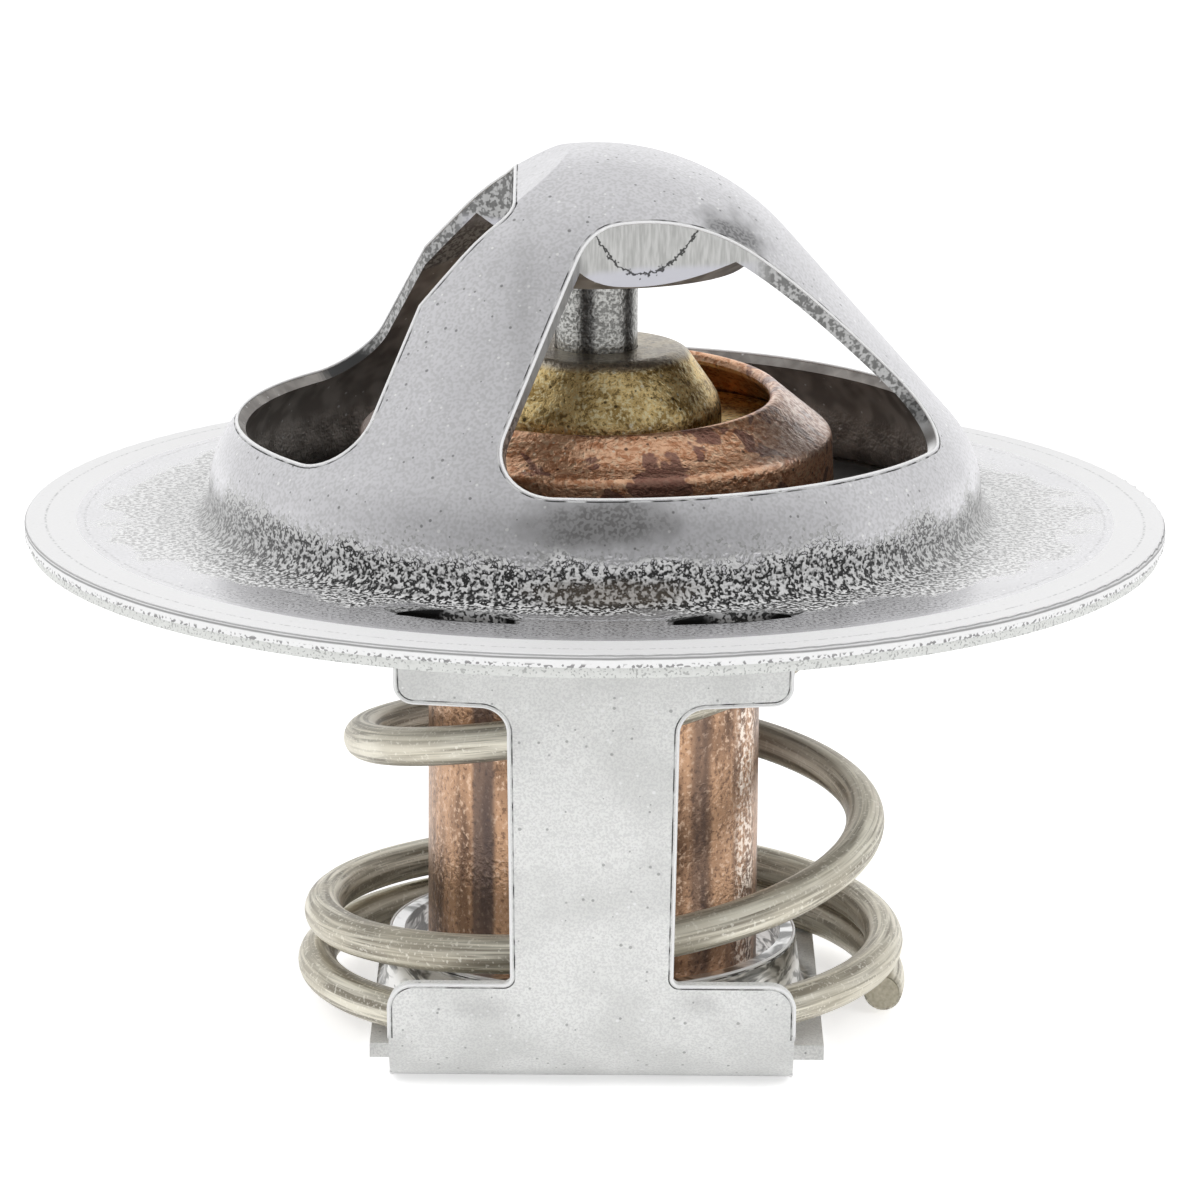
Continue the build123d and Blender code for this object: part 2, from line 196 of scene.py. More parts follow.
class Finish:
    """A material built from procedural nodes."""

    def __init__(self, name):
        self.material = bpy.data.materials.new(name)
        self.material.use_nodes = True
        self.tree = self.material.node_tree
        self.tree.nodes.clear()
        self.output = self.tree.nodes.new("ShaderNodeOutputMaterial")
        self.shader = self.tree.nodes.new("ShaderNodeBsdfPrincipled")
        self.tree.links.new(self.shader.outputs[0], self.output.inputs["Surface"])
        self.coordinates = self.tree.nodes.new("ShaderNodeTexCoord")
        self.mm = self.vector("MULTIPLY", self.coordinates.outputs["Object"], (1000, 1000, 1000))
        self.mm = self.vector("SUBTRACT", self.mm, (0, 0, FLANGE_Z))
        self.x, self.y, self.z = self.split(self.mm)
        squares = self.add(self.times(self.x, self.x), self.times(self.y, self.y))
        self.radius = self.math("SQRT", squares)
        self.angle = self.math("DEGREES", self.math("ARCTAN2", self.y, self.x))
        geometry = self.tree.nodes.new("ShaderNodeNewGeometry")
        self.true_normal = geometry.outputs["True Normal"]

    def put(self, socket, value):
        """Joins a socket to another one, or sets its number."""
        if isinstance(value, bpy.types.NodeSocket):
            self.tree.links.new(value, socket)
        else:
            socket.default_value = value

    def math(self, operation, a, b=0.0):
        """One sum of two values. The four short names below stand for the usual ones."""
        node = self.tree.nodes.new("ShaderNodeMath")
        node.operation = operation
        self.put(node.inputs[0], a)
        self.put(node.inputs[1], b)
        return node.outputs[0]

    def add(self, a, b):
        return self.math("ADD", a, b)

    def less(self, a, b):
        return self.math("SUBTRACT", a, b)

    def times(self, a, b):
        return self.math("MULTIPLY", a, b)

    def most(self, a, b):
        return self.math("MAXIMUM", a, b)

    def vector(self, operation, a, b=(0, 0, 0)):
        """One sum of two vectors."""
        node = self.tree.nodes.new("ShaderNodeVectorMath")
        node.operation = operation
        self.put(node.inputs[0], a)
        self.put(node.inputs[1], b)
        return node.outputs["Value"] if operation in ("DOT_PRODUCT", "LENGTH") else node.outputs[0]

    def split(self, vector):
        """The three parts of a vector."""
        node = self.tree.nodes.new("ShaderNodeSeparateXYZ")
        self.tree.links.new(vector, node.inputs[0])
        return node.outputs

    def join(self, x, y, z):
        """A vector from three values."""
        node = self.tree.nodes.new("ShaderNodeCombineXYZ")
        for socket, value in zip(node.inputs, (x, y, z)):
            self.put(socket, value)
        return node.outputs[0]

    def stretch(self, scale):
        """The millimetre coordinates, scaled along each axis."""
        return self.vector("MULTIPLY", self.mm, scale)

    def noise(self, per_mm, detail, rough=0.5, where=None, warp=0.0):
        """Cloudy pattern from 0 to 1, with so many blots in a millimetre."""
        node = self.tree.nodes.new("ShaderNodeTexNoise")
        self.put(node.inputs["Vector"], self.mm if where is None else where)
        node.inputs["Scale"].default_value = per_mm
        node.inputs["Detail"].default_value = detail
        node.inputs["Roughness"].default_value = rough
        node.inputs["Distortion"].default_value = warp
        return node.outputs["Fac"]

    def specks(self, per_mm, dark_share, bright_share, size):
        """Masks of dark and of bright round specks, each in a share of the cells."""
        node = self.tree.nodes.new("ShaderNodeTexVoronoi")
        self.put(node.inputs["Vector"], self.mm)
        node.inputs["Scale"].default_value = per_mm
        chance, spread = self.split(node.outputs["Color"])[:2]
        reach = self.times(self.add(spread, 0.4), size)
        spot = self.remap(self.math("DIVIDE", node.outputs["Distance"], reach), 0.6, 1.1, 1.0, 0.0)
        dark = self.times(spot, self.math("LESS_THAN", chance, dark_share))
        bright = self.times(spot, self.math("GREATER_THAN", chance, 1.0 - bright_share))
        return dark, bright

    def remap(self, value, low, high, to_low=0.0, to_high=1.0, smooth=True):
        """Soft step: to_low where the value is low, to_high where it is high."""
        node = self.tree.nodes.new("ShaderNodeMapRange")
        node.interpolation_type = "SMOOTHSTEP" if smooth else "LINEAR"
        self.put(node.inputs["Value"], value)
        ends = {"From Min": low, "From Max": high, "To Min": to_low, "To Max": to_high}
        for socket, number in ends.items():
            node.inputs[socket].default_value = number
        return node.outputs[0]

    def band(self, value, low, high, edge):
        """1 between low and high, 0 outside, with soft edges."""
        rise = self.remap(value, low - edge, low + edge)
        fall = self.remap(value, high - edge, high + edge, 1.0, 0.0)
        return self.times(rise, fall)

    def spot(self, centre, size, low=0.2, ragged=0.0):
        """Soft patch round a place in millimetres."""
        away = self.vector("SUBTRACT", self.mm, centre)
        away = self.vector("DIVIDE", away, size)
        far = self.vector("LENGTH", away)
        if ragged:
            far = self.add(far, self.times(self.less(self.noise(0.9, detail=2), 0.5), ragged))
        return self.remap(far, low, 1.0, 1.0, 0.0)

    def wrapped(self, turn, radius, along):
        """Coordinates that run round and along a cylinder, for streaks that follow its axis."""
        x = self.times(self.math("COSINE", turn), radius)
        y = self.times(self.math("SINE", turn), radius)
        return self.join(x, y, along)

    def mix(self, amount, a, b):
        """Mix of two colours. One number stands for a grey."""
        node = self.tree.nodes.new("ShaderNodeMix")
        node.data_type = "RGBA"
        self.put(node.inputs[0], amount)
        first_color, second_color, result = node.inputs[6], node.inputs[7], node.outputs[2]
        for socket, value in ((first_color, a), (second_color, b)):
            if isinstance(value, (int, float)):
                value = (value, value, value)
            if isinstance(value, tuple):
                value = (*value, 1.0)
            self.put(socket, value)
        return result

    def blend(self, amount, a, b):
        """Mix of two plain values."""
        node = self.tree.nodes.new("ShaderNodeMix")
        self.put(node.inputs[0], amount)
        self.put(node.inputs[2], a)
        self.put(node.inputs[3], b)
        return node.outputs[0]

    def bump(self, height):
        """Bump of a height in millimetres."""
        node = self.tree.nodes.new("ShaderNodeBump")
        node.inputs["Strength"].default_value = 1.0
        node.inputs["Distance"].default_value = MM
        self.put(node.inputs["Height"], height)
        self.tree.links.new(node.outputs[0], self.shader.inputs["Normal"])

    def report(self, what):
        """Tells how far the network has grown."""
        print(self.material.name, "has", len(self.tree.nodes), "nodes with its", what)

    def finish(self, color, rough, metal=1.0):
        """Feeds the shader and gives the material."""
        self.put(self.shader.inputs["Base Color"], color)
        self.put(self.shader.inputs["Roughness"], rough)
        self.put(self.shader.inputs["Metallic"], metal)
        return self.material


def paint(item, material):
    """Gives a piece its one material."""
    item.data.materials.clear()
    item.data.materials.append(material)
    print(item.name, "gets", material.name, "nodes:", len(material.node_tree.nodes))


# %% [markdown]
# Floor
#
# The floor is matt and almost white. To the camera and to reflections it also glows a little,
# which keeps it white without brighter lamps, and the contact shadow under the frame stays.

# %% Floor finish
f = Finish("pale_floor")
grain = f.noise(0.05, detail=0)
material = f.finish(f.mix(grain, 0.84, 0.87), rough=0.9, metal=0.0)
tree = f.tree
glow = tree.nodes.new("ShaderNodeEmission")
glow_strength = 0.55
glow.inputs["Strength"].default_value = glow_strength
both = tree.nodes.new("ShaderNodeAddShader")
tree.links.new(f.shader.outputs[0], both.inputs[0])
tree.links.new(glow.outputs[0], both.inputs[1])
ray = tree.nodes.new("ShaderNodeLightPath")
seen = f.most(ray.outputs["Is Camera Ray"], ray.outputs["Is Glossy Ray"])
choose = tree.nodes.new("ShaderNodeMixShader")
tree.links.new(seen, choose.inputs[0])
tree.links.new(f.shader.outputs[0], choose.inputs[1])
tree.links.new(both.outputs[0], choose.inputs[2])
tree.links.new(choose.outputs[0], f.output.inputs["Surface"])
paint(floor, material)

# %% [markdown]
# Bridge steel
#
# The bridge is one stamping of sheet steel, and its finish changes with the place. The outer skin
# is satin and lilac grey with fine specks. The inner skin is dark brown with old coolant. Cut
# faces are bright and torn, and some of them carry painted shadow. The foot of the wall is pitted
# like orange peel, and outside that the flange is smooth. It could be painted on an unwrapped
# picture, but one mask for each zone is easier to change: the zones are told apart by height, by
# radius and by which way the surface faces.

# %% Bridge zones
f = Finish("bridge_steel")
dome_centre = (0, 0, -2)
outward = f.vector("NORMALIZE", f.vector("SUBTRACT", f.mm, dome_centre))
facing = f.vector("DOT_PRODUCT", f.true_normal, outward)
upper = f.remap(f.z, 0.9, 1.1)
from_axis = f.vector("NORMALIZE", f.join(f.x, f.y, 0.0))
sideways = f.vector("DOT_PRODUCT", f.true_normal, from_axis)
bowl = f.most(f.remap(sideways, -0.2, -0.4), f.remap(f.radius, 18.0, 17.8))
normal_z = f.split(f.true_normal)[2]
upright = f.remap(f.math("ABSOLUTE", normal_z), 0.25, 0.15)
sheared = f.less(1.0, f.times(upright, f.remap(f.z, 5.0, 5.4)))
skin = f.times(f.blend(upper, f.less(1.0, bowl), f.remap(facing, 0.3, 0.45)), sheared)
inside = f.times(f.blend(upper, bowl, f.remap(facing, -0.3, -0.45)), sheared)
f.report("zones")

# %% Bridge grains
wander = f.less(f.noise(0.35, detail=1), 0.5)
grit = f.noise(4.4, detail=1, rough=0.7)
fine_grit = f.noise(6.5, detail=0)
dark_specks, bright_specks = f.specks(2.3, dark_share=0.30, bright_share=0.40, size=0.17)
f.report("grains")

# %% Bridge pit mask
foot_r = 20.2
low_wall = f.remap(f.add(f.z, f.times(wander, 3.0)), 3.3, 1.2)
side = f.math("ABSOLUTE", f.math("DIVIDE", f.x, f.radius))
pit_reach = f.add(foot_r, f.add(f.times(f.times(side, side), 3.2), f.times(wander, 4.5)))
on_flange = f.remap(f.less(f.radius, pit_reach), 0.6, -0.9)
pit_zone = f.times(low_wall, on_flange)
pitted = f.add(pit_zone, f.times(f.less(grit, 0.5), 2.2))
pitted = f.times(f.remap(pitted, 0.45, 0.60), f.times(f.remap(pit_zone, 0.02, 0.12), skin))
f.report("pit mask")

# %% Bridge pit colours
pit_color = f.mix(f.remap(grit, 0.42, 0.56), 0.03, 0.72)
# Painted highlights: the brightest grains of the pits are painted white.
pit_painted_highlight = f.remap(f.add(grit, f.times(fine_grit, 0.5)), 0.76, 0.82)
pit_painted_highlight = f.times(pit_painted_highlight, f.remap(pit_zone, 0.35, 0.75))
pit_color = f.mix(pit_painted_highlight, pit_color, 1.0)
pit_color = f.mix(f.remap(f.math("ABSOLUTE", f.x), 11.0, 20.0, 0.0, 0.55), pit_color, 0.95)
pit_color = f.mix(f.times(f.remap(f.radius, 19.2, 18.6), 0.30), pit_color, 0.13)
ring_r = f.add(f.radius, f.times(wander, 0.8))
bright_ring = f.times(f.band(ring_r, 19.35, 20.1, 0.2), f.remap(grit, 0.44, 0.54, 0.0, 0.7))
pit_color = f.mix(bright_ring, pit_color, 0.98)
crease = f.most(f.band(ring_r, 18.72, 18.92, 0.12), f.times(f.band(ring_r, 20.45, 20.6, 0.1), 0.7))
crease = f.times(crease, f.times(f.remap(f.z, 2.2, 1.6), f.remap(side, 0.75, 0.45)))
f.report("pit colours")

# %% Bridge skin
cloud = f.add(wander, 0.5)
skin_color = f.mix(cloud, (0.74, 0.735, 0.76), (0.86, 0.855, 0.88))
skin_color = f.mix(f.remap(fine_grit, 0.35, 0.7, 0.0, 0.45), skin_color, 0.55)
smooth_flange = f.remap(f.radius, 20.2, 20.9)
round_flange = f.join(f.times(f.radius, 3.0), 0.0, f.times(f.angle, 0.02))
rings = f.noise(1.0, detail=1, rough=0.7, where=round_flange)
skin_color = f.mix(f.times(smooth_flange, f.remap(rings, 0.35, 0.7, 0.0, 0.28)), skin_color, 0.70)
# Painted reflection: the smooth band of the flange is painted darker at the front, for the dark
# side behind the camera that it mirrors.
front_painted_reflection = f.times(f.band(f.radius, 20.6, 24.0, 0.5), f.remap(f.y, -12.0, -19.0))
skin_color = f.mix(f.times(front_painted_reflection, f.remap(fine_grit, 0.52, 0.36, 0.0, 0.7)), skin_color, 0.15)
skin_color = f.mix(f.times(dark_specks, 0.7), skin_color, 0.16)
skin_color = f.mix(f.times(bright_specks, 0.9), skin_color, 1.0)
f.report("skin")

# %% Bridge marks
crown_painted_shade = f.spot((6.3, -5.3, 14.3), (3.0, 3.0, 2.0), low=0.1, ragged=1.1)
wall_smudge = f.spot((0.4, -17.6, 3.6), (5.0, 3.0, 1.5), ragged=0.9)
arm_streak = f.times(f.band(f.x, -3.8, -2.9, 0.5), f.band(f.z, 6.5, 15.0, 2.0))
brown_foot = f.times(f.spot((1.0, -18.6, 0.6), (5.5, 3.0, 0.8), low=0.3, ragged=0.5), 0.6)
# Painted shade: the hollow where the hub runs into the right arm, beside the window, is painted
# dark.
crown_painted_shade = f.times(crown_painted_shade, f.remap(fine_grit, 0.4, 0.6, 0.85, 0.55))
skin_color = f.mix(crown_painted_shade, skin_color, 0.14)
wall_smudge = f.times(wall_smudge, f.remap(fine_grit, 0.4, 0.6, 0.85, 0.5))
skin_color = f.mix(wall_smudge, skin_color, (0.20, 0.195, 0.19))
skin_color = f.mix(f.times(arm_streak, 0.22), skin_color, 0.4)
skin_color = f.mix(pitted, skin_color, pit_color)
skin_color = f.mix(f.times(crease, f.remap(fine_grit, 0.35, 0.6, 0.85, 0.3)), skin_color, 0.06)
skin_color = f.mix(brown_foot, skin_color, (0.20, 0.165, 0.13))
f.report("marks")

# %% Bridge slits
slit_place, slit_half, slit_r, slit_depth = 6.3, 3.1, 21.15, 0.95
slit_x = f.math("DIVIDE", f.less(f.math("ABSOLUTE", f.x), slit_place), slit_half)
slit_bow = f.math("SQRT", f.most(f.less(1.0, f.times(slit_x, slit_x)), 0.001))
slit_out = f.math("DIVIDE", f.less(f.radius, slit_r), f.times(slit_bow, slit_depth))
in_slit = f.times(f.remap(f.math("ABSOLUTE", slit_out), 1.1, 0.9), f.remap(f.y, -15.0, -16.0))
slit_color = f.mix(f.remap(grit, 0.42, 0.56), 0.05, 0.66)
# Painted shade: the outer part of each slit is painted near black for the dark inside of the
# opening.
slit_color = f.mix(f.remap(f.add(slit_out, f.times(wander, 1.5)), 0.35, 0.55), slit_color, 0.01)
skin_color = f.mix(in_slit, skin_color, slit_color)
f.report("slits")

# %% Bridge inner skin
rust = f.noise(0.8, detail=1, rough=0.6)
inner_color = f.mix(f.remap(rust, 0.35, 0.65), (0.29, 0.265, 0.245), (0.50, 0.47, 0.44))
inner_color = f.mix(f.times(bright_specks, 0.8), inner_color, 0.9)
under_hub = f.times(f.remap(f.less(f.z, f.times(f.x, 0.32)), 12.7, 12.9), f.remap(f.x, -3.4, -3.8))
under_hub = f.times(under_hub, f.remap(f.y, 4.0, 5.0))
f.report("inner skin")

# %% Bridge cut faces
tear = f.noise(1.0, detail=2, rough=0.7, where=f.stretch((5.0, 2.0, 0.7)))
cut_color = f.mix(f.remap(tear, 0.3, 0.7), (0.38, 0.38, 0.37), (0.53, 0.53, 0.52))
# Painted shadow: the cut faces beyond x = 7 mm, on the right arm, and beyond x = -3.3 mm are
# painted dark and speckled.
cut_painted_shadow = f.most(f.remap(f.x, 7.0, 8.5), f.remap(f.x, -3.3, -3.7))
cut_color = f.mix(f.times(cut_painted_shadow, 0.75), cut_color, f.mix(f.remap(grit, 0.42, 0.58), 0.07, 0.42))
low_lens = f.remap(f.add(f.z, f.times(wander, 0.5)), 13.3, 12.9)
cut_color = f.mix(f.times(low_lens, f.remap(f.radius, 9.5, 8.5)), cut_color, (0.52, 0.52, 0.56))
# Painted light on the window sills: at the front they are painted white as a highlight, at the
# back near black as shade.
sill = f.remap(f.z, 5.6, 5.2)
cut_color = f.mix(sill, cut_color, f.mix(f.remap(f.y, -6.0, -2.0), 1.0, 0.08))
f.report("cut faces")

# %% Bridge crack
crack_centre_x, crack_low_z = 2.1, 12.85
crack_x = f.less(f.x, crack_centre_x)
crack_bend = f.remap(crack_x, -1.0, 1.0, 0.42, 0.30, smooth=False)
crack = f.add(crack_low_z, f.times(f.times(crack_x, crack_x), crack_bend))
crack = f.add(crack, f.times(f.less(grit, 0.5), 0.7))
crack = f.remap(f.math("ABSOLUTE", f.less(f.z, crack)), 0.13, 0.05)
crack = f.times(crack, f.times(f.band(f.x, -0.2, 4.9, 0.15), f.remap(f.radius, 8.2, 7.9)))
cut_color = f.mix(f.times(crack, 0.9), cut_color, 0.03)
f.report("crack")

# %% Bridge rim
rim_step_r = 24.55
inner_color = f.mix(under_hub, inner_color, cut_color)
color = f.mix(skin, f.mix(inside, cut_color, inner_color), skin_color)
on_rim = f.math("GREATER_THAN", f.radius, rim_step_r)
color = f.mix(f.times(on_rim, 0.8), color, 1.0)
ring_line = f.most(f.band(f.radius, 24.08, 24.2, 0.05), f.band(f.radius, 25.95, 26.05, 0.05))
color = f.mix(f.times(ring_line, f.remap(grit, 0.42, 0.6, 0.0, 0.5)), color, 0.3)
seam = f.band(f.add(f.z, f.times(wander, 0.08)), -0.24, -0.14, 0.04)
seam = f.most(seam, f.times(f.band(f.z, -0.62, -0.44, 0.05), f.remap(fine_grit, 0.54, 0.60)))
seam = f.times(seam, f.remap(f.radius, 26.7, 26.8))
color = f.mix(f.times(seam, 0.75), color, 0.12)
f.report("rim")

# %% Bridge gloss and relief
rough = f.blend(pitted, f.blend(smooth_flange, 0.36, 0.24), 0.4)
rough = f.blend(inside, rough, 0.5)
rim_fall = f.times(on_rim, f.times(f.less(f.radius, rim_step_r), -0.12))
metal = f.blend(inside, f.blend(on_rim, f.blend(smooth_flange, 1.0, 0.6), 0.35), 0.3)
# The metal is taken away under the painted highlights, so that they show white.
metal = f.times(metal, f.less(1.0, f.times(f.times(pit_painted_highlight, pitted), 0.9)))
rough_foot = f.times(f.remap(f.z, 2.6, 1.4), f.remap(f.radius, 21.2, 20.4))
height = f.times(f.add(f.times(rough_foot, 0.15), 0.004), grit)
height = f.add(height, f.times(rim_fall, f.remap(f.z, -0.1, -0.02)))
f.bump(height)
paint(nodes["bridge_flange"], f.finish(color, f.blend(on_rim, rough, 0.5), metal))

# %% [markdown]
# Lower frame
#
# The frame that hangs under the flange is matt, grainy and very light, with small dark pits. Two
# faint grey patches of painted shade near its foot stand for slight dents, and the legs are
# painted darker towards the top as the shadow of the flange. The drawn collar round the element is
# polished,
# and it gets painted reflections instead: streaks of dark and bright. One material holds both,
# with a mask of radius and height for the collar.

# %% Lower frame finish
f = Finish("frame_steel")
cloud = f.noise(0.3, detail=1)
grain = f.noise(9.0, detail=1, rough=0.6)
dark_specks, bright_specks = f.specks(2.4, dark_share=0.30, bright_share=0.45, size=0.17)
color = f.mix(f.remap(cloud, 0.3, 0.65), (0.84, 0.845, 0.83), (0.97, 0.975, 0.96))
# Painted shadow of the flange: the legs are painted darker towards the top.
color = f.mix(f.remap(f.z, -6.0, -1.0, 0.0, 0.22), color, 0.5)
color = f.mix(f.remap(grain, 0.38, 0.64, 0.0, 0.45), color, 0.62)
color = f.mix(f.times(dark_specks, 0.6), color, 0.2)
color = f.mix(f.times(bright_specks, 0.9), color, 1.0)
# Painted shade: two grey patches near the foot stand for the shading of slight dents.
dent_shade_size = (1.8, 3.0, 0.9)
left_dent_shade = f.spot((-5.1, -16.8, -19.4), dent_shade_size, low=0.1, ragged=0.6)
right_dent_shade = f.spot((4.95, -16.9, -19.1), dent_shade_size, low=0.1, ragged=0.6)
color = f.mix(f.times(f.most(left_dent_shade, right_dent_shade), 0.22), color, 0.3)
f.report("legs")

# %% Frame collar
collar = f.times(f.remap(f.radius, 11.2, 10.6), f.remap(f.z, -23.5, -23.2))
metal = f.blend(collar, 0.15, 1.0)
# Painted reflections: the collar's colour runs in streaks from near black to near white.
collar_painted_reflection = f.noise(0.5, detail=2, rough=0.6, where=f.stretch((1.0, 1.0, 3.0)), warp=1.0)
color = f.mix(f.times(collar, 0.85), color, f.mix(f.remap(collar_painted_reflection, 0.40, 0.58), 0.10, 0.92))
f.bump(f.times(grain, 0.012))
paint(nodes["lower_frame"], f.finish(color, f.blend(collar, 0.55, 0.28), metal))

# %% [markdown]
# Bright edges
#
# Shearing leaves a fine raised burr along each window and each side of the legs. It is painted as
# a highlight, and a line of painted shade lies just inside it. A bevel needs joined faces, and the
# mesh of an imported solid is split along its edges. So the faces are matched by the places of
# their corners, on a grid of a ten-thousandth of a millimetre. The sharp edges are put in order
# end to
# end, and two thin beads follow them: a bright one on the corner for the painted highlight and a
# dark one just inside it for the painted shade.

# %% Find the sheared edges
sharp_angle = 0.8
GRID_PER_METRE = 1e7
GRID = 1e-7


def sheared_edges(item, is_outer):
    """Sharp edges between an outer face and a cut face, with the way into the outer face."""
    mesh = item.data
    beside = {}
    for polygon in mesh.polygons:
        corners = [mesh.vertices[i].co for i in polygon.vertices]
        ends = [tuple(round(c * GRID_PER_METRE) for c in corner) for corner in corners]
        for a, b in zip(ends, ends[1:] + ends[:1]):
            beside.setdefault((min(a, b), max(a, b)), []).append(polygon)
    found = []
    for (a, b), faces in beside.items():
        if len(faces) != 2 or faces[0].normal.angle(faces[1].normal, 0.0) < sharp_angle:
            continue
        outer = [face for face in faces if is_outer(face.normal, face.center / MM)]
        if len(outer) == 1:
            start, end = Vector(a) * GRID, Vector(b) * GRID
            inward = outer[0].normal.cross(end - start).normalized()
            if inward.dot(outer[0].center - start) < 0:
                inward = -inward
            found.append((a, b, inward, outer[0].normal.copy()))
    return found


def is_bridge_skin(normal, place):
    """True on the outer skin of the dome, above the foot fillet."""
    place = place - Vector((0, 0, FLANGE_Z))
    away = (place - Vector(dome_centre)).normalized()
    return place.z > 0.7 and normal.dot(away) > 0.45


def is_leg_outside(normal, place):
    """True on the outside of the legs, between the bottom plate and the flange."""
    away = Vector((place.x, place.y, 0)).normalized()
    return 0.6 < place.z < FLANGE_Z - 0.8 and normal.dot(away) > 0.5


edges = sheared_edges(nodes["bridge_flange"], is_bridge_skin)
edges += sheared_edges(nodes["lower_frame"], is_leg_outside)
print("sheared edges:", len(edges))

# %% Put the edges in order


def runs_of(edges):
    """Orders the edges end to end. Each run is its places and the edges between them."""
    meeting = {}
    for number, edge in enumerate(edges):
        for place in edge[:2]:
            meeting.setdefault(place, []).append(number)
    left = set(range(len(edges)))
    loose = [n for n in sorted(left) if any(len(meeting[place]) != 2 for place in edges[n][:2])]
    runs = []
    for first in loose + sorted(left):
        if first not in left:
            continue
        a, b = edges[first][:2]
        places, steps, n = [a if len(meeting[a]) != 2 else b], [], first
        while n is not None:
            left.discard(n)
            a, b = edges[n][:2]
            places.append(b if places[-1] == a else a)
            steps.append(edges[n])
            onward = meeting[places[-1]] if len(meeting[places[-1]]) == 2 else []
            n = next((other for other in onward if other in left), None)
        runs.append((places, steps))
    return runs


runs = runs_of(edges)
print("runs of edges:", len(runs))

# %% Lay the beads
bead_sides = 6


def bead(name, runs, radius, inset, sink):
    """Thin bead along runs of edges, set into the outer face by an inset and a depth."""
    bm = bmesh.new()
    for places, steps in runs:
        closed = places[0] == places[-1] and len(steps) > 2
        spots = [Vector(place) * GRID for place in places]
        rings = []
        for i in range(len(steps) if closed else len(spots)):
            before = i - 1 if i or closed else 0
            after = min(i, len(steps) - 1)
            inward = (steps[before][2] + steps[after][2]).normalized()
            normal = (steps[before][3] + steps[after][3]).normalized()
            ahead = spots[after + 1] - spots[before] if before >= 0 else spots[1] - spots[-2]
            side = ahead.cross(normal).normalized()
            centre = spots[i] + inward * inset * MM - normal * sink * MM
            ring = []
            for k in range(bead_sides):
                a = 2 * math.pi * k / bead_sides
                spoke = side * math.cos(a) + normal * math.sin(a)
                ring.append(bm.verts.new(centre + spoke * radius * MM))
            rings.append(ring)
        pairs = list(zip(rings, rings[1:]))
        if closed:
            pairs.append((rings[-1], rings[0]))
        else:
            bm.faces.new(rings[0])
            bm.faces.new(list(reversed(rings[-1])))
        for near, far in pairs:
            for k in range(bead_sides):
                n = (k + 1) % bead_sides
                face = bm.faces.new((near[k], near[n], far[n], far[k]))
                face.smooth = True
    bmesh.ops.recalc_face_normals(bm, faces=bm.faces)
    piece = item_from(bm, name)
    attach(piece, "housing")
    print(name, "faces:", len(piece.data.polygons))
    return piece


burr = bead("bright_burr", runs, radius=0.075, inset=0.02, sink=0.03)
shade_bead = bead("painted_edge_shade", runs, radius=0.05, inset=0.16, sink=0.035)

# %% Burr highlight and edge shade finishes
# Painted highlight: the burr bead is near white, with little metal.
f = Finish("burr_painted_highlight")
grain = f.noise(3.0, detail=1)
paint(burr, f.finish(f.mix(grain, 0.92, 1.0), rough=0.35, metal=0.2))
# Painted shade: the bead just inside the burr runs from near black to mid grey.
f = Finish("edge_shade_paint")
grain = f.noise(1.2, detail=1)
color = f.mix(f.remap(grain, 0.4, 0.62), 0.04, 0.6)
paint(shade_bead, f.finish(color, rough=0.6, metal=0.0))

# %% [markdown]
# Seat plate and valve disc
#
# Both are plain stamped steel, clean and grey. The edge of the seat plate shows as a second,
# lighter layer under the rim of the flange, with a row of dark dots. Its inner part is the floor
# of the bowl and is dark with old coolant.

# %% Seat plate finish
f = Finish("seat_steel")
grain = f.noise(4.0, detail=2, rough=0.6)
color = f.mix(grain, (0.66, 0.67, 0.65), (0.84, 0.85, 0.83))
color = f.mix(f.remap(f.radius, 19.0, 18.0), color, f.mix(grain, 0.10, 0.22))
dots = f.times(f.remap(f.noise(9.0, detail=0), 0.60, 0.68), f.remap(f.radius, 26.6, 26.75))
color = f.mix(f.times(dots, 0.45), color, 0.15)
f.bump(f.times(grain, 0.02))
paint(nodes["seat_plate"], f.finish(color, rough=0.45, metal=0.5))

# %% Valve disc finish
f = Finish("disc_steel")
grain = f.noise(2.0, detail=2, rough=0.6)
f.bump(f.times(grain, 0.01))
paint(nodes["valve_disc"], f.finish(f.mix(grain, 0.35, 0.6), rough=0.38))

# %% [markdown]
# Pin
#
# The ground steel pin has a fine grey grain, and two dark stripes run along its front. A mirror
# would show such stripes by itself where the arms stand beside it. The grain scatters them, so
# they are drawn as soft bands across its width.

# %% Pin finish
f = Finish("pin_steel")
grain = f.noise(6.0, detail=1, rough=0.6)
color = f.mix(f.remap(grain, 0.38, 0.62), (0.24, 0.24, 0.23), (0.60, 0.60, 0.58))
stripes = f.most(f.band(f.x, -0.75, -0.1, 0.2), f.band(f.x, 1.35, 1.75, 0.15))
color = f.mix(f.times(stripes, 0.7), color, 0.07)
f.bump(f.times(grain, 0.03))
paint(nodes["piston_pin"], f.finish(color, rough=0.36))

# %% [markdown]
# Brass guide
#
# The guide is turned brass gone olive with age, peppered with dark dots. Its flat top is rubbed
# grey. Large patches give the olive and the gold, and two kinds of grain on top of them give the
# dots.

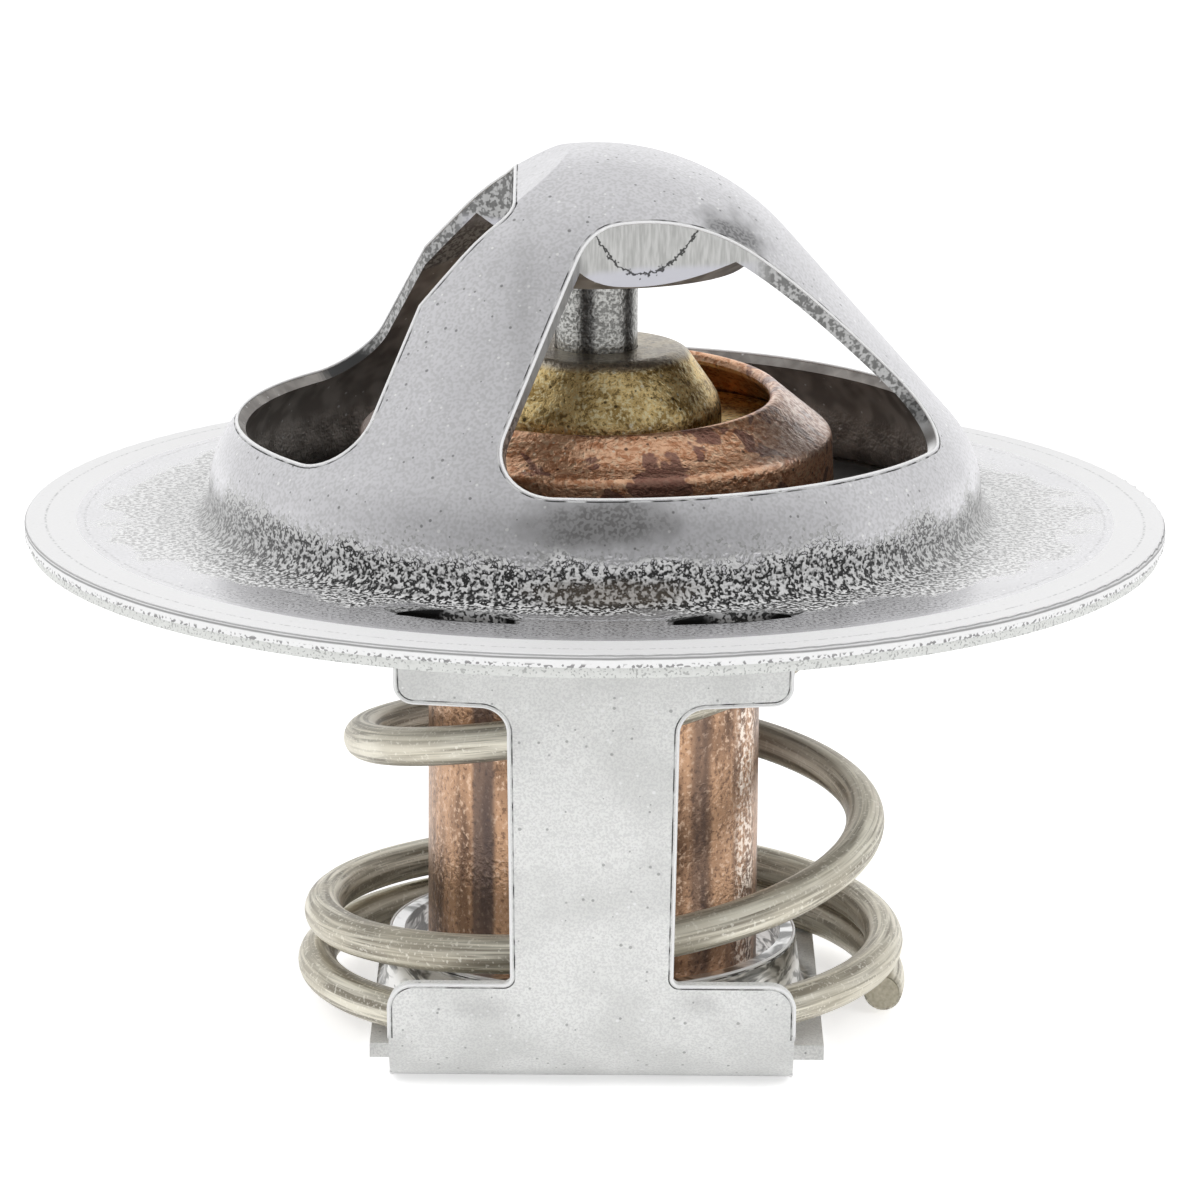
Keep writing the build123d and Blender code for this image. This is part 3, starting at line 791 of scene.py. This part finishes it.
# %% Guide finish
f = Finish("guide_brass")
patch = f.noise(0.6, detail=1, rough=0.6, where=f.stretch((1.0, 1.0, 1.6)))
grain = f.noise(4.0, detail=2, rough=0.7)
dark_specks, bright_specks = f.specks(2.3, dark_share=0.45, bright_share=0.3, size=0.2)
color = f.mix(f.remap(patch, 0.36, 0.62), (0.42, 0.28, 0.10), (0.98, 0.74, 0.34))
color = f.mix(f.remap(grain, 0.50, 0.62, 0.0, 0.7), color, (1.0, 0.90, 0.58))
color = f.mix(f.remap(grain, 0.46, 0.36, 0.0, 0.7), color, (0.16, 0.11, 0.045))
color = f.mix(f.times(dark_specks, 0.85), color, (0.04, 0.03, 0.015))
color = f.mix(f.times(bright_specks, 0.7), color, (1.0, 0.95, 0.75))
top = f.remap(f.z, 7.6, 8.0)
color = f.mix(f.times(top, 0.8), color, f.mix(grain, (0.25, 0.23, 0.2), (0.72, 0.70, 0.67)))
f.bump(f.times(grain, 0.05))
paint(nodes["guide"], f.finish(color, rough=0.38))

# %% [markdown]
# Copper cup
#
# The cup was deep drawn, so its wall is streaked from top to bottom. Heat and coolant have left
# brown stains with crisp edges round the head. The right end of the lip that was rolled over the
# guide carries a pale painted highlight, and the left side of the head is painted near black as
# shade. The lip was rolled a little lower at the front than at the back, so the cup is turned
# again here from the profile of the solid, with that sag added above the head.

# %% Cup profile
cup_r, head_r = 7.9, 11.4
corner_r, corner_z = 1.4, -21.8
shoulder_r, shoulder_out, shoulder_z = 0.9, 0.88, -0.4


def quarter(across, reach, up, rise):
    """Quarter round of the profile, from its lowest point outwards, as radius and height."""
    angles = [i * math.pi / 12 for i in range(7)]
    return [(across + reach * math.sin(a), up - rise * math.cos(a)) for a in angles]


corner = quarter(cup_r - corner_r, corner_r, corner_z, corner_r)
shoulder = quarter(head_r - shoulder_r, shoulder_out, shoulder_z, shoulder_r)
lip_bend = [(11.21, 3.70), (11.19, 3.92), (11.10, 4.14), (10.94, 4.32)]
lip_face = [(10.94 - 2.2 * t, 4.32 + 1.86 * t) for t in (0.2, 0.4, 0.6, 0.8, 1.0)]
rim_turn = [(8.60, 6.22), (8.44, 6.20), (8.30, 6.08), (8.22, 5.90), (8.26, 5.72)]
inside = [(9.4, 4.75), (10.5, 3.9), (10.7, -0.6), (7.2, -0.6), (7.2, -22.5), (0.0, -22.5)]
wall = [(cup_r, -12.0), (cup_r, -1.3)]
profile = [(0.0, -23.2)] + corner + wall + shoulder + lip_bend + lip_face + rim_turn + inside
print("points in the cup's profile:", len(profile))

# %% Cup mesh
bm = bmesh.new()
segments = 192
sag_from_z, sag_from_r, sag_height = 3.8, 8.0, 1.6
sag_slope, level_y = 0.045, 4.0
columns = []
for k in range(segments):
    a = 2 * math.pi * k / segments
    column = []
    for r, z in profile:
        y = r * math.sin(a)
        if z > sag_from_z and r > sag_from_r:
            sag = min((z - sag_from_z) / sag_height, 1.0)
            z += sag * sag * (3 - 2 * sag) * sag_slope * (y - level_y)
        column.append(bm.verts.new((r * math.cos(a) * MM, y * MM, (z + FLANGE_Z) * MM)))
    columns.append(column)
for k in range(segments):
    near, far = columns[k], columns[(k + 1) % segments]
    for i in range(len(profile) - 1):
        face = bm.faces.new((near[i], far[i], far[i + 1], near[i + 1]))
        face.smooth = True
bmesh.ops.remove_doubles(bm, verts=bm.verts, dist=GRID)
bmesh.ops.recalc_face_normals(bm, faces=bm.faces)
crease_angle = 0.6
for edge in bm.edges:
    if len(edge.link_faces) == 2 and edge.calc_face_angle(0.0) > crease_angle:
        edge.smooth = False
cup = item_from(bm, "copper_cup")
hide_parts("element_cup")
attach(cup, "valve")
print("cup faces:", len(cup.data.polygons))

# %% Copper head
f = Finish("cup_copper")
grain = f.noise(3.5, detail=2, rough=0.65)
scratch = f.noise(1.3, detail=3, rough=0.65, where=f.stretch((1.0, 1.0, 2.2)), warp=1.5)
dark_specks, bright_specks = f.specks(2.2, dark_share=0.3, bright_share=0.3, size=0.18)
copper = f.mix(f.remap(scratch, 0.38, 0.60), (0.60, 0.28, 0.15), (1.0, 0.62, 0.40))
copper = f.mix(f.remap(grain, 0.52, 0.66, 0.0, 0.7), copper, (1.0, 0.74, 0.52))
copper = f.mix(f.times(bright_specks, 0.8), copper, (1.0, 0.85, 0.68))
blot = f.noise(0.42, detail=3, rough=0.6, warp=0.5)
front_stain = f.spot((2.3, -10.5, 3.0), (3.2, 3.0, 2.0), low=0.1)
front_stain = f.remap(f.add(front_stain, f.times(f.less(blot, 0.5), 3.0)), 0.40, 0.46)
stain = f.most(f.remap(blot, 0.56, 0.60), front_stain)
copper = f.mix(f.times(stain, 0.85), copper, f.mix(grain, (0.20, 0.10, 0.085), (0.33, 0.17, 0.14)))
copper = f.mix(f.times(dark_specks, 0.8), copper, (0.05, 0.025, 0.02))
# Painted shade: the left side of the head is painted near black.
copper = f.mix(f.remap(f.x, -5.0, -9.0, 0.0, 0.9), copper, (0.07, 0.045, 0.035))
# Painted highlight: the right end of the lip is painted pale and silvery.
lip_painted_highlight = f.times(f.remap(f.x, 6.5, 9.5), f.remap(f.z, 3.6, 4.4))
lip_highlight_color = f.mix(f.remap(grain, 0.35, 0.6), (0.40, 0.33, 0.31), (1.0, 0.95, 0.93))
copper = f.mix(f.times(lip_painted_highlight, 0.7), copper, lip_highlight_color)
f.report("head")

# %% Copper wall
down_wall = f.wrapped(f.math("RADIANS", f.angle), 15.0, f.times(f.z, 0.35))
streak = f.noise(0.35, detail=2, rough=0.6, where=down_wall)
drawn = f.mix(f.remap(streak, 0.35, 0.65), (0.17, 0.10, 0.065), (0.54, 0.33, 0.205))
drawn = f.mix(f.remap(grain, 0.54, 0.68, 0.0, 0.6), drawn, (0.80, 0.58, 0.43))
drawn = f.mix(f.remap(grain, 0.44, 0.34, 0.0, 0.6), drawn, (0.10, 0.06, 0.045))
left_stripe = f.band(f.angle, -136.0, -126.0, 1.5)
right_stripe = f.times(f.band(f.angle, -54.0, -46.0, 2.5), 0.7)
dark_stripe = f.most(left_stripe, right_stripe)
dark_stripe = f.times(dark_stripe, f.remap(f.z, -3.5, -5.5, 0.0, 0.75))
drawn = f.mix(dark_stripe, drawn, (0.09, 0.075, 0.075))
bright_band = f.times(f.band(f.angle, -30.0, -16.0, 3.0), f.remap(grain, 0.45, 0.6))
drawn = f.mix(bright_band, drawn, (0.92, 0.80, 0.70))
color = f.mix(f.remap(f.z, -2.4, -1.4), drawn, copper)
f.bump(f.times(grain, 0.06))
paint(cup, f.finish(color, rough=0.36))

# %% [markdown]
# Rubber and wax
#
# Neither shows from outside: the boot lines the cup round the pin, and the wax fills the rest.
# They get plain finishes, black and amber, so that a cut view still reads well.

# %% Inner finishes
f = Finish("boot_rubber")
grain = f.noise(2.0, detail=1)
paint(nodes["rubber_boot"], f.finish(f.mix(grain, 0.02, 0.05), rough=0.6, metal=0.0))
f = Finish("amber_wax")
grain = f.noise(1.0, detail=1)
color = f.mix(grain, (0.35, 0.20, 0.06), (0.55, 0.36, 0.14))
paint(nodes["wax_charge"], f.finish(color, rough=0.5, metal=0.0))

# %% [markdown]
# Return spring
#
# The wire is wound wide at the bottom and narrower towards the valve, and its last turn is
# closed. Here the wire is swept again along the same path as the solid, with a finer section, so
# that its surface can carry coordinates that run along the wire: wire drawing leaves fine lines
# that follow every turn.

# %% Spring stations
wire_d = 1.84
spring_x = 0.45
# Each station is an angle in degrees, a coil radius and a height above the flange.
turns = [
    (-12, 13.75, -22.85), (35, 13.5, -22.38), (90, 12.9, -22.05), (180, 13.7, -22.0),
    (270, 13.3, -21.4), (360, 13.6, -20.93), (450, 13.5, -20.3), (540, 13.4, -19.6),
    (630, 13.1, -17.6), (720, 12.6, -14.75), (810, 12.0, -12.9), (900, 11.5, -11.1),
    (990, 11.05, -7.45), (1080, 10.4, -4.2), (1140, 10.25, -3.3),
]
turns += [(1200 + 52 * i, 10.2, -3.05) for i in range(5)]
print("spring stations: %d over %.1f turns" % (len(turns), (turns[-1][0] - turns[0][0]) / 360))

# %% Spring path
ring_step = 2.5


def follow(before, start, end, after, t):
    """Smooth value between start and end that also heeds the neighbours."""
    along = 3 * t**2 - 2 * t**3
    leave = (t**3 - 2 * t**2 + t) * (end - before) / 2
    arrive = (t**3 - t**2) * (after - start) / 2
    return start + along * (end - start) + leave + arrive


path = []
for i in range(len(turns) - 1):
    around = [turns[max(i - 1, 0)], turns[i], turns[i + 1], turns[min(i + 2, len(turns) - 1)]]
    steps = round((turns[i + 1][0] - turns[i][0]) / ring_step)
    for k in range(steps):
        t = k / steps
        turn = math.radians(turns[i][0] + t * (turns[i + 1][0] - turns[i][0]))
        coil = follow(*[station[1] for station in around], t)
        rise = follow(*[station[2] for station in around], t)
        x, y = spring_x + coil * math.cos(turn), coil * math.sin(turn)
        path.append(Vector((x, y, rise + FLANGE_Z)))
print("spring rings:", len(path))

# %% Spring rings
sides = 24
bm = bmesh.new()
rings = []
lengths = [0.0]
for i, point in enumerate(path):
    ahead = (path[min(i + 1, len(path) - 1)] - path[max(i - 1, 0)]).normalized()
    outside = Vector((point.x - spring_x, point.y, 0)).normalized()
    up = ahead.cross(outside).normalized()
    outside = up.cross(ahead)
    if i:
        lengths.append(lengths[-1] + (point - path[i - 1]).length)
    ring = []
    for k in range(sides):
        a = 2 * math.pi * k / sides
        spoke = outside * math.cos(a) + up * math.sin(a)
        ring.append(bm.verts.new((point + spoke * wire_d / 2) * MM))
    rings.append(ring)
print("wire length in mm: %.0f" % lengths[-1])

# %% Spring skin
along = bm.loops.layers.uv.new("along")
for i in range(len(rings) - 1):
    for k in range(sides):
        n = (k + 1) % sides
        face = bm.faces.new((rings[i][k], rings[i][n], rings[i + 1][n], rings[i + 1][k]))
        face.smooth = True
        for loop, (u, v) in zip(face.loops, ((i, k), (i, k + 1), (i + 1, k + 1), (i + 1, k))):
            loop[along].uv = (lengths[u], v / sides)
end_bevel = 0.12
for ring in (list(reversed(rings[0])), rings[-1]):
    cap = bm.faces.new(ring)
    bmesh.ops.bevel(bm, geom=list(cap.edges), offset=end_bevel * MM, segments=2, affect="EDGES")
bmesh.ops.recalc_face_normals(bm, faces=bm.faces)
spring = item_from(bm, "spring_wire")
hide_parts("return_spring")
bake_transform(spring)
print("spring faces:", len(spring.data.polygons))

# %% Spring finish
f = Finish("spring_wire_steel")
length, round_wire = f.split(f.coordinates.outputs["UV"])[:2]
down_wire = f.wrapped(f.times(round_wire, 2 * math.pi), 2.6, f.times(length, 0.10))
lines = f.noise(1.0, detail=3, rough=0.7, where=down_wire, warp=0.4)
grain = f.noise(5.0, detail=1, rough=0.65)
old = f.noise(0.25, detail=1)
color = f.mix(f.remap(lines, 0.36, 0.62), (0.28, 0.25, 0.195), (0.88, 0.84, 0.72))
color = f.mix(f.remap(old, 0.42, 0.62, 0.0, 0.45), color, (0.62, 0.57, 0.46))
color = f.mix(f.remap(grain, 0.58, 0.70, 0.0, 0.5), color, (1.0, 0.97, 0.88))
# Painted shade: the upper turns at the back, below the flange, are painted darker.
behind = f.times(f.remap(f.y, 2.0, 9.0), f.remap(f.z, -16.0, -13.5))
color = f.mix(f.times(behind, 0.55), color, f.mix(lines, (0.16, 0.13, 0.11), (0.40, 0.34, 0.29)))
end = f.remap(length, 0.06, 0.0)
color = f.mix(end, color, f.mix(grain, (0.30, 0.27, 0.2), (0.62, 0.58, 0.47)))
f.bump(f.times(lines, 0.05))
paint(spring, f.finish(color, rough=0.42, metal=0.65))
